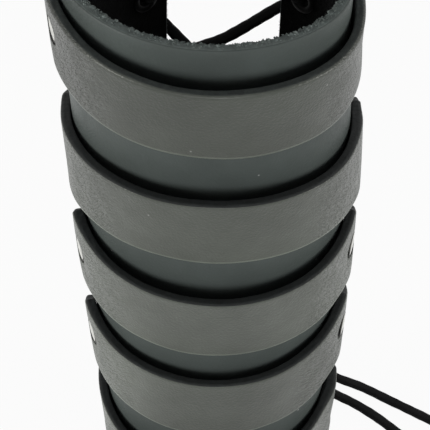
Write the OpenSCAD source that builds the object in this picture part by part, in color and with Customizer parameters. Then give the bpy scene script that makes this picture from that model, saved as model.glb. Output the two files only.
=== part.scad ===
// Leather forearm gauntlet: a rolled leather shell, five riveted bands and a laced back.
// It stands on its wrist edge at z = 0. The front faces -Y and the open back faces +Y.

/* [Shell] */
// Height from the wrist edge to the elbow rim
shell_height = 240; // [236:1:260]
// Outside radius at the elbow rim
rim_radius = 50; // [46:0.5:56]
// Outside radius at the wrist edge
wrist_radius = 35.6; // [33:0.2:40]
// Thickness of the shell leather
shell_wall = 3.2; // [2.4:0.1:4]
// Width of the opening down the back
back_gap = 38; // [30:1:44]

/* [Bands] */
// Height of each band
band_height = 32.5; // [26:0.5:36]
// Thickness of the band leather
band_wall = 3.2; // [2.4:0.1:4]
// Step from one band down to the next
band_pitch = 46.7; // [44:0.1:47]
// Drop from the rim to the first band's lower edge, at the front
first_band_drop = 42; // [40:0.5:44]
// Angle round the shell from the front to the top band's rivets
band_reach = 76; // [74:0.5:78]
// How far a band runs on past its rivets
band_end = 8.5; // [8:0.5:11]
// Height of a band's blunt end, where its cut corners stop
end_height = 11; // [10:0.5:16]
// How far the middle of a band's upper edge stands off the shell
band_flare = 4.9; // [4.2:0.1:6]
// How fast that stand-off fades towards the sides
flare_fade = 1.7; // [1.4:0.1:1.8]
// Bevel along the bands' cut edges
edge_bevel = 0.5; // [0.2:0.1:0.8]

/* [Rivets] */
// Radius of the domed outer caps
cap_radius = 4.6; // [3.8:0.1:5.2]
// Height of the dome above its brim
cap_dome = 0.9; // [0.7:0.1:1.4]
// Thickness of the cap's brim
cap_brim = 0.5; // [0.4:0.1:0.8]
// Depth to which the caps sink into the bands
cap_seat = 1.3; // [1:0.1:1.6]
// Radius of the inner caps
back_cap_radius = 4.2; // [3.6:0.1:4.8]
// Height of the inner caps
back_cap_dome = 1.1; // [0.8:0.1:1.6]
// Radius of the hollow posts
post_radius = 1.6; // [1.3:0.1:2]
// Radius of the pins that fill the posts
pin_radius = 1; // [0.8:0.05:1.1]

/* [Eyelets] */
// Radius of the eyelets' bore
eyelet_bore = 2.5; // [2.3:0.1:2.8]
// Radius of the eyelets' flanges
eyelet_flange = 4.7; // [4.2:0.1:5]
// Thickness of the eyelets' metal
eyelet_metal = 0.4; // [0.3:0.05:0.5]
// Height of the rolled flange above the leather
eyelet_lip = 0.7; // [0.5:0.1:0.9]
// Distance from the back opening's edge to the eyelets
eyelet_inset = 9.5; // [8:0.5:12]
// Distance from the rim to the first pair of eyelets
eyelet_first = 10; // [8:0.5:14]
// Step from one pair of eyelets to the next
eyelet_pitch = 41; // [39:0.5:42]

/* [Lace] */
// Width of the flat lace
lace_width = 3.4; // [2.8:0.1:3.6]
// Thickness of the lace
lace_wall = 2; // [1.6:0.1:2.2]

/* [Clearances] */
// Gap between the shell and a band's lower edge
band_clearance = 0.35; // [0.3:0.05:0.6]
// Radial gap between a post and the leather that turns on it
post_clearance = 0.06; // [0.03:0.01:0.1]
// Radial gap between a pin and its post
pin_clearance = 0.02; // [0.01:0.01:0.05]
// Gap under the brim of a cap
cap_clearance = 0.3; // [0.25:0.05:0.5]
// Gap under the flanges of an eyelet
eyelet_clearance = 0.3; // [0.25:0.05:0.4]
// Gap between the lace and the eyelets it runs over
lace_clearance = 0.35; // [0.2:0.05:0.5]
// Gap between the lace and the edges of the back opening
edge_clearance = 0.8; // [0.7:0.1:1.2]

/* [Hidden] */

shell_grey = [0.27, 0.29, 0.30];
band_grey = [0.36, 0.38, 0.37];
lace_black = [0.09, 0.09, 0.10];
nickel = [0.62, 0.62, 0.60];

// Each band stands this much above its even step, its sides rise this much above its front,
// its flare differs by this much, and so does the angle to its rivets
band_shift = [0, -0.6, -0.8, 1.9, 0.4];
end_rise = [5, -6, 1, 3, 2];
flare_change = [0, 0, 0.3, -1.2, 0];
reach_change = [0, 18.5, 2, 3.5, 15.5];

band_count = 5;
eyelet_rows = 6;
round_fn = 96;
band_steps = 50;
end_steps = 3;
cut = 1;
lace_step = 3;
cord_step = 7;
turn_parts = 3;
up = [0, 0, 1];

shell_slope = (rim_radius - wrist_radius) / shell_height;
shell_tilt = atan(shell_slope);
half_gap = back_gap / 2;
last_row = eyelet_rows - 1;

// How far the flat lace's middle runs from what lies under it
lace_off = lace_wall / 2 + lace_clearance;
edge_off = lace_wall / 2 + edge_clearance;
// The radius at which the lace turns over an eyelet's rim
lace_bend = eyelet_bore + eyelet_lip / 2;
// How far outside the leather the lacing ends and the loose ends begin
lace_out = 3.6;
// How far the rivets' pins reach from the inside
pin_reach = shell_wall + band_wall / 2;
// How far below an eyelet its lace crosses the edge of the opening
edge_drop = eyelet_pitch / 5;

// The shell's axis stands behind the middle of the footprint, so that the footprint is centred
front_reach = max([for (q = band_section(0, 0)) q[0]]);
lacing_rings = lace_rings(concat(reversed(half_lace(-1)), half_lace(1)), lace_step);
back_reach = max([for (ring = lacing_rings) for (q = ring) q[1]]);
axis_y = (front_reach - back_reach) / 2;

// The routes of the lace's two loose ends, once they have left the last eyelets
left_route = [
    [-36.5, 41, 22], [-38, 43, 17], [-38, 45, 12], [-36.5, 47, 7.5], [-34, 49, 4.5],
    [-30.5, 51, 2.5], [-26, 53, 1.6], [-17, 55.5, 1.3], [-5, 57, 1.3], [8, 56.5, 1.3],
    [21, 54.5, 1.3], [31, 50.5, 1.3], [40, 45, 1.3], [47, 40, 1.3], [57, 35, 1.3],
    [68, 28, 1.3], [82, 19, 1.3], [94, 11, 1.3], [106, 1, 1.3], [113, -12, 1.3],
    [113, -26, 1.3], [105, -38, 1.3], [92, -44, 1.3]
];
right_route = [
    [36.5, 41, 22], [37.6, 41.4, 17], [38.2, 40.6, 12], [38.7, 38.9, 7.3], [39.8, 36.5, 4],
    [41.8, 34.4, 2.2], [44.4, 32.6, 1.5], [47.5, 30.7, 1.3], [54, 26.5, 1.3], [62, 20, 1.3],
    [70, 12, 1.3], [79, 3, 1.3], [88, -6, 1.3], [94, -17, 1.3], [94, -29, 1.3],
    [86, -38, 1.3], [75, -39, 1.3]
];

function shell_r(z) = wrist_radius + shell_slope * z;
function bow(half_width, r) = r - sqrt(r * r - half_width * half_width);
function unit(v) = v / norm(v);

// Bands
function band_low(i) = shell_height - first_band_drop - band_pitch * i + band_shift[i];
function flare_of(i) = band_flare + flare_change[i];
function reach_of(i) = band_reach + reach_change[i];
function foot_z(i, turn) = band_low(i) + end_rise[i] * (1 - cos(turn));
function head_r(i, turn) =
    shell_r(foot_z(i, turn) + band_height) + band_clearance
    + flare_of(i) * pow(max(0, cos(turn)), flare_fade);
function foot_r(i, turn) = shell_r(foot_z(i, turn)) + band_clearance;

// The bevelled section of a band, as radius and height, at an angle from the front
// Past the rivets it narrows evenly to the blunt end
function end_turn(i) = band_end / shell_r(rivet_z(i)) * 180 / PI;
function band_section(i, turn) =
    let (
        low = [foot_r(i, turn), foot_z(i, turn)],
        high = [head_r(i, turn), foot_z(i, turn) + band_height],
        along = unit(high - low),
        past = max(0, abs(turn) - reach_of(i)) / end_turn(i),
        corner = along * past * (band_height - end_height) / 2,
        foot = low + corner,
        head = high - corner,
        out = [along[1], -along[0]],
        e = edge_bevel,
        w = band_wall
    ) [
        foot + along * e, foot + out * e, foot + out * (w - e), foot + out * w + along * e,
        head + out * w - along * e, head + out * (w - e), head + out * e, head - along * e
    ];
function band_turns(i) =
    concat(
        [for (k = [end_steps : -1 : 1]) -reach_of(i) - end_turn(i) * k / end_steps],
        [for (k = [0 : band_steps]) reach_of(i) * (2 * k / band_steps - 1)],
        [for (k = [1 : end_steps]) reach_of(i) + end_turn(i) * k / end_steps]
    );
function band_rings(i) = [
    for (turn = band_turns(i))
        [for (q = band_section(i, turn)) [q[0] * sin(turn), -q[0] * cos(turn), q[1]]]
];

// Rivets, in the middle of a band's height
function rivet_z(i) = foot_z(i, reach_of(i)) + band_height / 2;
function rivet_forward(i) = shell_r(rivet_z(i)) * cos(reach_of(i));
function side_x(i, r) = sqrt(r * r - pow(rivet_forward(i), 2));
function side_angle(i, r) = asin(rivet_forward(i) / r);
function band_out_r(i) = shell_r(rivet_z(i)) + band_clearance + band_wall;
function shell_in_r(i) = shell_r(rivet_z(i)) - shell_wall;

// Eyelets
function row_z(row) = shell_height - eyelet_first - eyelet_pitch * row;
function eyelet_turn(row) =
    let (r = shell_r(row_z(row))) asin(half_gap / r) + eyelet_inset / r * 180 / PI;
function eyelet_point(row, side) =
    let (r = shell_r(row_z(row)), a = eyelet_turn(row))
        [side * r * sin(a), r * cos(a), row_z(row)];
function eyelet_normal(row, side) =
    let (a = eyelet_turn(row), c = cos(shell_tilt))
        [side * c * sin(a), c * cos(a), -sin(shell_tilt)];
function gapward(row, side) =
    let (a = eyelet_turn(row)) [-side * cos(a), sin(a), 0];

// How far below the leather's outer face an eyelet's inner flange ends
function flange_depth(row) =
    shell_wall + bow(eyelet_flange, shell_r(row_z(row)) - shell_wall)
    + eyelet_clearance + eyelet_lip;

// A lace runs through stops, each a point and a direction square to the lace's flat face
// A quarter turn over an eyelet's rim, on the inside (side_out = 1) or the outside (-1)
function rim_turn(row, side, away, level, side_out) =
    let (p = eyelet_point(row, side), n = eyelet_normal(row, side))
        [
            for (k = [0 : turn_parts - 1])
                let (a = 90 * k / turn_parts)
                    [
                        p + n * (level + side_out * lace_bend * (1 - cos(a)))
                            + away * lace_bend * (1 - sin(a)),
                        n * side_out * cos(a) + away * sin(a)
                    ]
        ];
function arrival(row, side) =
    unit(gapward(row, side) + up * (row == 0 ? 0 : edge_drop / eyelet_inset));
function departure(row, side) = unit(gapward(row, side) - up * edge_drop / eyelet_inset);

// The lace's way in, through and out of one eyelet
function through_eyelet(row, side) =
    let (
        p = eyelet_point(row, side),
        n = eyelet_normal(row, side),
        from = arrival(row, side),
        to = row < last_row ? departure(row, side) : from,
        low = -flange_depth(row) - lace_off,
        high = eyelet_clearance + eyelet_lip + lace_off,
        low_end = low + lace_bend,
        high_end = high - lace_bend
    )
        concat(
            rim_turn(row, side, from, low, 1),
            [
                [p + n * low_end, from],
                [p + n * (low_end + high_end) / 2, unit(from + to)],
                [p + n * high_end, to]
            ],
            row < last_row ? reversed(rim_turn(row, side, to, high, -1)) : [lace_exit(side)]
        );
function lace_exit(side) =
    [
        eyelet_point(last_row, side) + eyelet_normal(last_row, side) * lace_out,
        arrival(last_row, side)
    ];

// A point beside the opening's edge, off the leather's outer face or, below zero, its inner one
function edge_point(z, side, depth, off) =
    let (r = shell_r(z) - depth)
        concat(
            [side * half_gap, sqrt(r * r - half_gap * half_gap)] * (r + off) / r,
            [z]
        );

// Over one edge of the opening, across it and under the other edge, on the way to the next row
function crossing(row, side) =
    let (
        start = edge_point(row_z(row) - edge_drop, side, 0, edge_off),
        end = edge_point(row_z(row + 1) + edge_drop, -side, shell_wall, -edge_off),
        apart = [0, side * (lace_wall / 2 + lace_clearance), 0]
    ) [
        [start, unit([start[0], start[1], 0])],
        [(start + end) / 2 + apart, [0, 1, 0]],
        [end, unit([end[0], end[1], 0])]
    ];

// One half of the lacing, from the first row to the last, starting on the given side
function half_lace(first_side) = [
    for (row = [0 : last_row])
        let (side = first_side * (row % 2 == 0 ? 1 : -1))
            each concat(
                through_eyelet(row, side),
                row < last_row ? crossing(row, side) : []
            )
];
function reversed(list) = [for (i = [len(list) - 1 : -1 : 0]) list[i]];

// A smooth run through stops, as points with a direction square to the lace's flat face
function heading(p, i) =
    i == 0 ? unit(p[1] - p[0])
    : i == len(p) - 1 ? unit(p[i] - p[i - 1])
    : unit(unit(p[i] - p[i - 1]) + unit(p[i + 1] - p[i]));
function between(a, va, b, vb, t) =
    a * (2 * pow(t, 3) - 3 * t * t + 1) + va * (pow(t, 3) - 2 * t * t + t)
    + b * (3 * t * t - 2 * pow(t, 3)) + vb * (pow(t, 3) - t * t);
function facing(a, b, t) = a * (1 - t) + b * t * (a * b < 0 ? -1 : 1);
function smooth(stops, step) =
    let (p = [for (s = stops) s[0]], f = [for (s = stops) s[1]])
        concat(
            [
                for (i = [0 : len(p) - 2])
                    let (
                        d = norm(p[i + 1] - p[i]),
                        n = max(1, round(d / step)),
                        a = heading(p, i) * d,
                        b = heading(p, i + 1) * d
                    )
                        for (k = [0 : n - 1])
                            [between(p[i], a, p[i + 1], b, k / n), facing(f[i], f[i + 1], k / n)]
            ],
            [[p[len(p) - 1], f[len(f) - 1]]]
        );

// The direction of a flat lace's width at each point of its run, never flipping over
function flat_across(run, points) = [
    for (
        i = 0, w = unit(cross(heading(points, 0), run[0][1]));
        i < len(run);
        i = i + 1,
        next = i < len(run) ? unit(cross(heading(points, i), run[i][1])) : w,
        w = next * w < 0 ? -next : next
    ) w
];
function lace_rings(stops, step) =
    let (
        run = smooth(stops, step),
        points = [for (r = run) r[0]],
        across = flat_across(run, points),
        a = lace_width / 2,
        b = lace_wall / 2,
        c = lace_wall / 4,
        section = [
            [a, c - b], [a - c, -b], [c - a, -b], [-a, c - b],
            [-a, b - c], [c - a, b], [a - c, b], [a, b - c]
        ]
    ) [
        for (i = [0 : len(points) - 1])
            let (n = cross(heading(points, i), across[i]))
                [for (q = section) points[i] + across[i] * q[0] + n * q[1]]
    ];

// A closed skin over rings of points, in triangles
module skin(rings) {
    m = len(rings[0]);
    last = len(rings) - 1;
    polyhedron(
        points = [for (ring = rings) each ring],
        faces = concat(
            [for (i = [0 : last - 1], j = [0 : m - 1])
                [i * m + j, i * m + (j + 1) % m, (i + 1) * m + j]],
            [for (i = [0 : last - 1], j = [0 : m - 1])
                [i * m + (j + 1) % m, (i + 1) * m + (j + 1) % m, (i + 1) * m + j]],
            [for (j = [1 : m - 2]) [0, j + 1, j]],
            [for (j = [1 : m - 2]) [last * m, last * m + j, last * m + j + 1]]
        )
    );
}

module on_axis() {
    translate([0, axis_y, 0]) children();
}

// The line through a band's two rivets
module rivet_hole(i) {
    translate([0, -rivet_forward(i), rivet_z(i)])
        rotate([0, 90, 0])
            cylinder(
                h = 4 * rim_radius, r = post_radius + post_clearance,
                center = true, $fn = round_fn
            );
}

// Puts a piece on an eyelet's place, with +Z outward
module at_eyelet(row, side) {
    translate(eyelet_point(row, side))
        rotate([0, 0, 90 - side * eyelet_turn(row)])
            rotate([0, 90 + shell_tilt, 0])
                children();
}

module base_shell() {
    hole = eyelet_bore + eyelet_metal + post_clearance;
    color(shell_grey)
        on_axis()
            difference() {
                rotate_extrude($fn = round_fn)
                    polygon([
                        [wrist_radius - shell_wall, 0], [wrist_radius, 0],
                        [rim_radius, shell_height], [rim_radius - shell_wall, shell_height]
                    ]);
                translate([-half_gap, 0, -cut])
                    cube([back_gap, 2 * rim_radius, shell_height + 2 * cut]);
                for (i = [0 : band_count - 1]) rivet_hole(i);
                for (row = [0 : last_row], side = [-1, 1])
                    at_eyelet(row, side)
                        cylinder(h = 6 * shell_wall, r = hole, center = true, $fn = round_fn);
            }
}

// Puts a piece at a rivet's place on a surface of this radius, with +Z square to the surface
module at_rivet(i, r) {
    translate([side_x(i, r), -rivet_forward(i), rivet_z(i)])
        rotate([0, 90 + shell_tilt, -side_angle(i, r)])
            children();
}

module band(i) {
    color(band_grey)
        on_axis()
            difference() {
                skin(band_rings(i));
                rivet_hole(i);
                for (side = [0, 1])
                    mirror([side, 0, 0])
                        at_rivet(i, band_out_r(i))
                            translate([0, 0, -cap_seat])
                                cylinder(
                                    h = cap_seat + band_wall, r = cap_radius + cap_clearance,
                                    $fn = round_fn
                                );
            }
}

// A low dome on a brim, standing on z = 0
module dome(radius, brim, height) {
    ball = (radius * radius + height * height) / (2 * height);
    cylinder(h = brim, r = radius, $fn = round_fn);
    translate([0, 0, brim])
        intersection() {
            translate([0, 0, height - ball]) sphere(r = ball, $fn = round_fn);
            cylinder(h = height, r = radius, $fn = round_fn);
        }
}

// The outer cap sits in the band's recess, and its hollow post runs level to the inside
module rivet_cap(i) {
    inner_end = side_x(i, shell_in_r(i)) + cap_clearance / 2;
    outer_end = side_x(i, band_out_r(i)) - cap_seat + cap_clearance + cap_brim;
    difference() {
        union() {
            at_rivet(i, band_out_r(i))
                translate([0, 0, cap_clearance - cap_seat])
                    dome(cap_radius, cap_brim, cap_dome);
            translate([inner_end, -rivet_forward(i), rivet_z(i)])
                rotate([0, 90, 0])
                    cylinder(h = outer_end - inner_end, r = post_radius, $fn = round_fn);
        }
        translate([inner_end - cut, -rivet_forward(i), rivet_z(i)])
            rotate([0, 90, 0])
                cylinder(h = pin_reach + cut, r = pin_radius + pin_clearance, $fn = round_fn);
    }
}

// The inner cap lies on the inside of the shell, and its pin fills the post
module rivet_back(i) {
    r = shell_in_r(i);
    seat = cap_clearance + bow(back_cap_radius, r);
    at_rivet(i, r)
        rotate([180, 0, 0])
            translate([0, 0, seat])
                dome(back_cap_radius, cap_brim, back_cap_dome);
    translate([side_x(i, r) - seat - cap_brim, -rivet_forward(i), rivet_z(i)])
        rotate([0, 90, 0])
            cylinder(h = pin_reach, r = pin_radius, $fn = round_fn);
}

module both_sides() {
    on_axis() {
        children();
        mirror([1, 0, 0]) children();
    }
}

module rivet_caps(i) {
    color(nickel) both_sides() rivet_cap(i);
}

module rivet_backs(i) {
    color(nickel) both_sides() rivet_back(i);
}

// An eyelet: a short tube with a rolled flange outside and a flat one inside
module eyelet(row) {
    wall = eyelet_bore + eyelet_metal;
    roll = eyelet_lip / 2;
    depth = flange_depth(row);
    rotate_extrude($fn = round_fn) {
        translate([eyelet_bore, -depth])
            square([eyelet_metal, depth + eyelet_clearance + roll]);
        translate([eyelet_bore, -depth])
            square([eyelet_flange - eyelet_bore, eyelet_lip]);
        translate([wall, eyelet_clearance])
            square([eyelet_flange - wall - roll, eyelet_lip]);
        translate([wall, eyelet_clearance + roll]) circle(r = roll, $fn = 32);
        translate([eyelet_flange - roll, eyelet_clearance + roll]) circle(r = roll, $fn = 32);
    }
}

module eyelets(side) {
    color(nickel)
        on_axis()
            for (row = [0 : last_row]) at_eyelet(row, side) eyelet(row);
}

module lacing() {
    color(lace_black) on_axis() skin(lacing_rings);
}

// A loose end goes straight out of its eyelet, falls to the ground and lies flat on it
function loose_face(p) =
    p[2] > 2 * lace_width ? unit(unit([p[0], p[1] - axis_y, 0]) + up) : up;
module lace_end(side, route) {
    exit = lace_exit(side);
    start = exit[0] + [0, axis_y, 0];
    straight = start + eyelet_normal(last_row, side) * 2 * lace_width;
    stops = concat(
        [[start, exit[1]], [straight, up]],
        [for (p = route) [p, loose_face(p)]]
    );
    color(lace_black) skin(lace_rings(stops, cord_step));
}

base_shell();
band(0);  // band_1
band(1);  // band_2
band(2);  // band_3
band(3);  // band_4
band(4);  // band_5
rivet_caps(0);  // rivet_caps_1
rivet_caps(1);  // rivet_caps_2
rivet_caps(2);  // rivet_caps_3
rivet_caps(3);  // rivet_caps_4
rivet_caps(4);  // rivet_caps_5
rivet_backs(0);  // rivet_backs_1
rivet_backs(1);  // rivet_backs_2
rivet_backs(2);  // rivet_backs_3
rivet_backs(3);  // rivet_backs_4
rivet_backs(4);  // rivet_backs_5
eyelets(-1);  // eyelets_left
eyelets(1);  // eyelets_right
lacing();
lace_end(-1, left_route);  // lace_end_left
lace_end(1, right_route);  // lace_end_right
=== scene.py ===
import math

import bmesh
import bpy
import numpy as np
from mathutils import Matrix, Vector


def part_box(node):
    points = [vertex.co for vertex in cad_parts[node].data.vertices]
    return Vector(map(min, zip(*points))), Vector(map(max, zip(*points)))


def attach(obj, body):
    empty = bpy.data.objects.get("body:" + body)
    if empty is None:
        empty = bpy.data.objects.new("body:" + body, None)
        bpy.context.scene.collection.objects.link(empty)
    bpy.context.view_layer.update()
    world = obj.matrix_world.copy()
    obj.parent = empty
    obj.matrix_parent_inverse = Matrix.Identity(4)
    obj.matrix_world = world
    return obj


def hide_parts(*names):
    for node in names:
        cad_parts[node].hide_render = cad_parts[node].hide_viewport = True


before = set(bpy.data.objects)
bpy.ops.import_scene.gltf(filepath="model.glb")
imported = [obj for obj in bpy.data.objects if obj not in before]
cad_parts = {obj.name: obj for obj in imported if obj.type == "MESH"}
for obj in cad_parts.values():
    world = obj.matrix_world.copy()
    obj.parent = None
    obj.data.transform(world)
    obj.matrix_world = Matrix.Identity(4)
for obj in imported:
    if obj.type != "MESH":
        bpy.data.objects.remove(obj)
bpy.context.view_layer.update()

scene = bpy.context.scene
scene.view_settings.view_transform = "Standard"

# Lengths are in millimetres round the shell's own axis, with z up from the wrist edge. Only the
# camera, the materials, the floor and the lamps are in metres, in the model's own frame.
HEIGHT, RIM, WRIST, WALL = 240.0, 50.0, 35.6, 3.2
SLOPE = (RIM - WRIST) / HEIGHT
TILT = math.atan(SLOPE)
AXIS_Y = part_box("base_shell")[0].y * 1000 + RIM
HALF_GAP = 19.0
UP = np.array([0, 0, 1.0])
# What takes a point from round the shell's axis to the model's own frame
SHIFT = np.array([0, AXIS_Y, 0])


def in_metres(points):
    """The points in metres, in the model's own frame."""
    return (np.asarray(points, float) + SHIFT) * 0.001


# ---------------------------------------------------------------- camera
LENS, LOOK_DOWN, ROLL = 183.5, 0.7843, 0.00697
CAMERA_Y, CAMERA_Z = -0.5231, 0.6466
camera = bpy.data.objects.new("camera", bpy.data.cameras.new("camera"))
scene.collection.objects.link(camera)
scene.camera = camera
camera.data.sensor_width = 36
camera.data.lens = LENS
camera.matrix_world = (
    Matrix.Translation((0, CAMERA_Y + AXIS_Y * 0.001, CAMERA_Z))
    @ Matrix.Rotation(math.pi / 2 - LOOK_DOWN, 4, "X")
    @ Matrix.Rotation(ROLL, 4, "Z")
)


# ---------------------------------------------------------------- the leather's hand-worked shape
# How far the shell's sides are pressed in at each height: the right one is pinched at the elbow
PUSH_AT = [0, 30, 78, 120, 145, 165, 190, 205, 225, 240]
PUSH_RIGHT = [-1.3, -1.3, -1.5, -0.4, 0.6, 2, 4.2, 5.8, 8.6, 9]
PUSH_LEFT = [0, 0, -0.5, -0.8, 0, 0, 0, 0, 0, 0]
# How far the back leans over to the right, and how far its two edges spread apart
BACK_SHIFT, BACK_SPREAD = 2.9, 1.0
# The angle to each side over which the face's direction is taken
NUDGE = 0.004


def smoothed(values, spread=7.0, reach=21):
    """The values at each millimetre of height, with their corners rounded."""
    z = np.arange(-40, 281, 1.0)
    raw = np.interp(z, PUSH_AT, values)
    k = np.exp(-0.5 * (np.arange(-reach, reach + 1) / spread) ** 2)
    return z[reach:-reach], np.convolve(raw, k / k.sum(), "valid")


PROFILE_RIGHT, PROFILE_LEFT = smoothed(PUSH_RIGHT), smoothed(PUSH_LEFT)


def ease(x, low, high):
    """Goes smoothly from 0 at low to 1 at high."""
    t = np.clip((x - low) / (high - low), 0, 1)
    return t * t * (3 - 2 * t)


def shell_r(z):
    return WRIST + SLOPE * z


def face(t, z):
    """The shell's outer face at an angle from the front (right is positive) and a height."""
    r = shell_r(z)
    x, y = r * np.sin(t), -r * np.cos(t)
    side = (np.abs(x) / r) ** 6
    push = np.where(x > 0, -np.interp(z, *PROFILE_RIGHT), np.interp(z, *PROFILE_LEFT))
    back, top = ease(y, 0, 0.7 * r), ease(z, 40, 230)
    spread = BACK_SPREAD * np.sign(x) * ease(y, 0.3 * r, 0.9 * r) * ease(z, 90, 180)
    return x + push * side + BACK_SHIFT * back * top + spread, y


def at(t, z, off):
    """A point off the shell's outer face, measured square to it in plan."""
    t, z, off = np.broadcast_arrays(
        np.asarray(t, float), np.asarray(z, float), np.asarray(off, float)
    )
    x, y = face(t, z)
    (xa, ya), (xb, yb) = face(t + NUDGE, z), face(t - NUDGE, z)
    dx, dy = xa - xb, ya - yb
    size = np.hypot(dx, dy)
    return np.stack([x + dy / size * off, y - dx / size * off, z], -1)


def outward(t, z):
    """The direction square to the shell's outer face."""
    n = at(t, z, 1.0) - at(t, z, 0.0)
    n = n * math.cos(TILT) + np.array([0, 0, -math.sin(TILT)])
    return n / np.linalg.norm(n)


def ripple(x, y, z, size, seed=0.0):
    """Slow, shallow unevenness of hand-cut leather, from -1 to 1."""
    return (
        np.sin(x / size + 1.7 * np.sin(z / size * 0.7 + seed))
        + np.sin(y / size * 1.3 + 2.1 + seed)
        + np.sin(z / size * 0.9 + x / size * 0.5 + 2 * seed)
    ) / 3


# ---------------------------------------------------------------- mesh makers
def new_object(name, points, faces, slots, kinds=None, smooth=True):
    mesh = bpy.data.meshes.new(name)
    mesh.from_pydata(np.asarray(points).tolist(), [], [tuple(int(v) for v in f) for f in faces])
    for m in slots:
        mesh.materials.append(m)
    if kinds is not None:
        mesh.polygons.foreach_set("material_index", np.asarray(kinds, np.int32))
    mesh.polygons.foreach_set("use_smooth", np.full(len(mesh.polygons), smooth))
    mesh.update()
    o = bpy.data.objects.new(name, mesh)
    scene.collection.objects.link(o)
    return o


# A leather sheet's materials, in the order of its slots
GRAIN, EDGE, FLESH, RUBBED_HIGHLIGHT, GROOVE_DIRT_AND_SHADE = range(5)
EDGE_FLATS, FLESH_ROUND = 4, 0.45


def leather_sheet(name, cols, rows, surface, bevel, slots, worn, burnished):
    """A closed sheet of leather: grain side, rounded cut edge all round, flesh side.

    The grain's finish runs on over the first strips of the rounding, as many as are burnished.
    Where a slot for the rubbed line is given, the lower edge's rounding has it: rubbed, lighter
    leather with a painted highlight along it.
    """
    n, m = len(cols), len(rows)
    c, r = np.meshgrid(cols, rows, indexing="ij")
    zero = np.zeros_like(c)
    outer = surface(c, r, zero, zero, zero).reshape(-1, 3)
    inner = surface(c, r, zero, zero, zero + WALL).reshape(-1, 3)
    edge = (
        [(i, 0) for i in range(n)]
        + [(n - 1, j) for j in range(1, m)]
        + [(i, m - 1) for i in range(n - 2, -1, -1)]
        + [(0, j) for j in range(m - 2, 0, -1)]
    )
    ei, ej = np.array(edge).T
    dc = (ei == n - 1) * 1.0 - (ei == 0) * 1.0
    dr = (ej == m - 1) * 1.0 - (ej == 0) * 1.0
    round_over = (0.3, 0.6, 0.9, 1.2, 1.45)
    steps = [(bevel * math.sin(a), bevel * (1 - math.cos(a))) for a in round_over]
    steps += [
        (bevel, bevel + (WALL - bevel - FLESH_ROUND) * k / EDGE_FLATS)
        for k in range(EDGE_FLATS + 1)
    ]
    steps += [
        (bevel - FLESH_ROUND * (1 - math.sin(a)), WALL - FLESH_ROUND * (1 - math.cos(a)))
        for a in (1.2, 0.8, 0.4, 0)
    ]
    loops = []
    for reach, depth in steps:
        out = reach + worn(cols[ei], rows[ej], dr, depth) * (reach / bevel)
        loops.append(surface(cols[ei], rows[ej], dc * out, dr * out, np.full(len(ei), depth)))
    points = [outer] + loops + [inner]
    index = np.arange(n * m).reshape(n, m)
    a, b, d, e = index[:-1, :-1], index[1:, :-1], index[1:, 1:], index[:-1, 1:]
    faces = [np.stack([a, b, d, e], -1).reshape(-1, 4)]
    rubbed_highlight = len(slots) > RUBBED_HIGHLIGHT
    front = np.full((n - 1, m - 1), GRAIN)
    # The rubbed line with its painted highlight goes on the grain's lowest row
    if rubbed_highlight:
        front[:, 0] = RUBBED_HIGHLIGHT
    kinds = [front.ravel()]
    base = n * m + len(ei) * len(loops)
    faces.append(np.stack([a, e, d, b], -1).reshape(-1, 4) + base)
    kinds.append(np.full(len(faces[0]), FLESH))
    rims = [index[ei, ej]]
    rims += [n * m + k * len(ei) + np.arange(len(ei)) for k in range(len(loops))]
    rims.append(index[ei, ej] + base)
    for k in range(len(rims) - 1):
        p, q = rims[k], rims[k + 1]
        faces.append(np.stack([np.roll(p, -1), p, q, np.roll(q, -1)], -1))
        strip = GRAIN if k < burnished else FLESH if k > len(rims) - 4 else EDGE
        kind = np.full(len(p), strip)
        if rubbed_highlight and k < 4:
            kind[(dr < 0) & (np.roll(dr, -1) < 0)] = RUBBED_HIGHLIGHT
        kinds.append(kind)
    return new_object(
        name, in_metres(np.concatenate(points)), np.concatenate(faces), slots, np.concatenate(kinds)
    )


# How many sides a turned piece has, and the radius below which a profile starts at the axis
TURNED_SIDES, ON_AXIS = 48, 1e-6


def ring_kinds(profile, frames, first):
    """The second material from a profile's row on, for each piece that turned_piece makes."""
    rows = len(profile) - (profile[0][0] <= ON_AXIS)
    return np.tile(np.repeat((np.arange(rows) >= first).astype(int), TURNED_SIDES), len(frames))


def turned_piece(profile, frames, count=TURNED_SIDES):
    """Closed profiles of (radius, height) turned round the third column of each frame."""
    points, faces = [], []
    profile = np.asarray(profile, float)
    closed = profile[0][0] > ON_AXIS
    for origin, e1, e2, n in frames:
        base = len(points)
        angle = 2 * math.pi * np.arange(count) / count
        for rad, h in profile:
            for a in angle:
                points.append(origin + e1 * (rad * math.cos(a)) + e2 * (rad * math.sin(a)) + n * h)
        rows = len(profile)
        for k in range(rows if closed else rows - 1):
            k2 = (k + 1) % rows
            p, q = base + k * count, base + k2 * count
            for j in range(count):
                j2 = (j + 1) % count
                faces.append([p + j, p + j2, q + j2, q + j])
    return np.array(points), faces


def welded(o, distance=1e-7):
    """Joins the points that meet and turns all faces outward."""
    b = bmesh.new()
    b.from_mesh(o.data)
    bmesh.ops.remove_doubles(b, verts=b.verts, dist=distance)
    bmesh.ops.dissolve_degenerate(b, dist=1e-8, edges=b.edges)
    bmesh.ops.recalc_face_normals(b, faces=b.faces)
    b.to_mesh(o.data)
    b.free()
    return o


def frame_at(point, normal):
    """A place for turned_piece: its origin, two level columns and the axis."""
    e1 = UP - normal * UP.dot(normal)
    e1 /= np.linalg.norm(e1)
    return point, e1, np.cross(normal, e1), normal


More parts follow.
